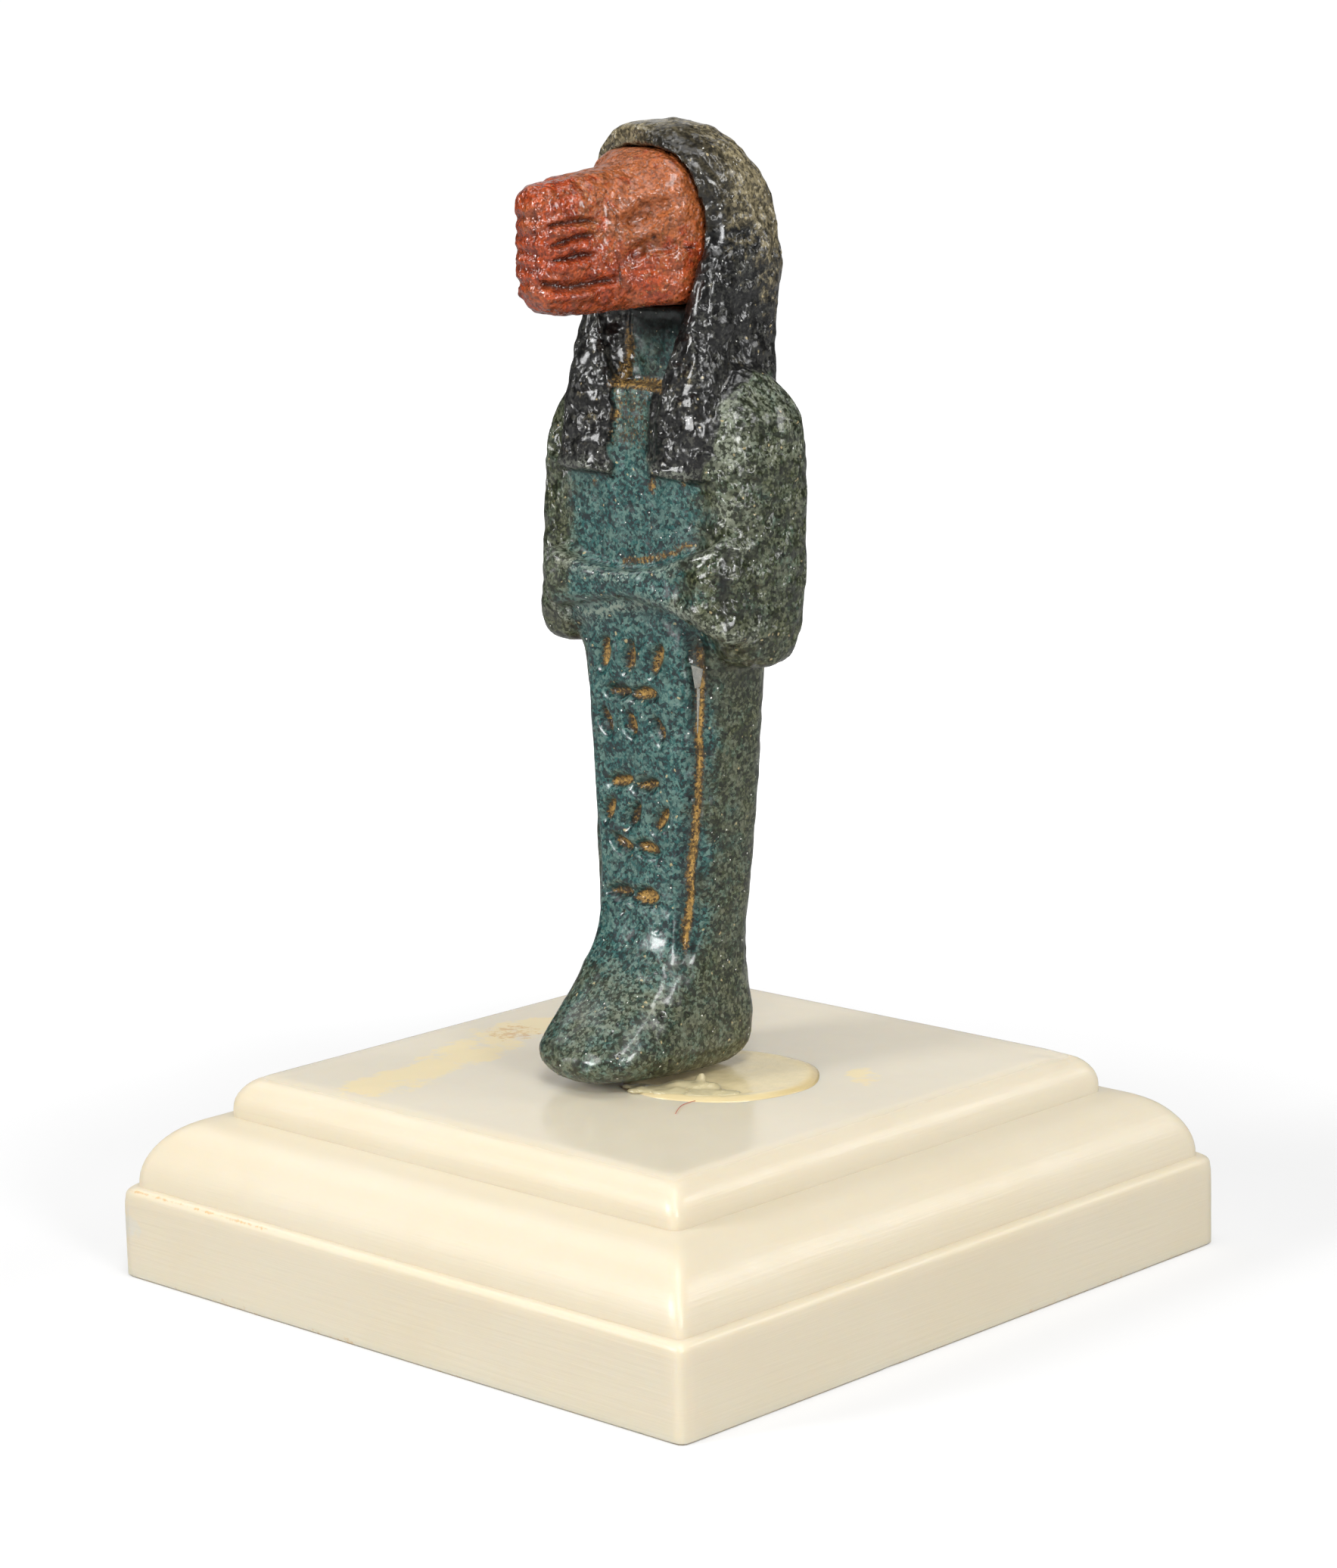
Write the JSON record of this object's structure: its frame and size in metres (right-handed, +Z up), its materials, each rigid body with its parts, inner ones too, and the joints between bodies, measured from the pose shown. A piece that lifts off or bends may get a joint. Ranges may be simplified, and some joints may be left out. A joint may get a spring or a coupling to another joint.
{
  "type": "animal-headed mummiform figurine on a display base",
  "caption": "Small wrapped standing figure in teal glaze with a black wig and a red animal head, stuck on a stepped square stone base.",
  "frame": {"origin": "centre of the stone base's underside", "axes": "+Z up; the figure looks along -Y, and its left side is +X"},
  "size_m": [0.05, 0.05, 0.073],
  "materials": {
    "base_stone": "cream alabaster, polished on top, with yellow stains and fine scratches",
    "teal_faience": "worn granular blue-green glaze with a black wig and ochre deposits in the recesses",
    "red_faience": "brick-red body, glossy on the muzzle and dusty towards the wig",
    "adhesive": "clear, yellowish and waxy"
  },
  "bodies": {
    "root": {"display_base": "base_stone", "figurine_body": "teal_faience", "animal_head": "red_faience", "adhesive_pad": "adhesive"}
  },
  "joints": []
}
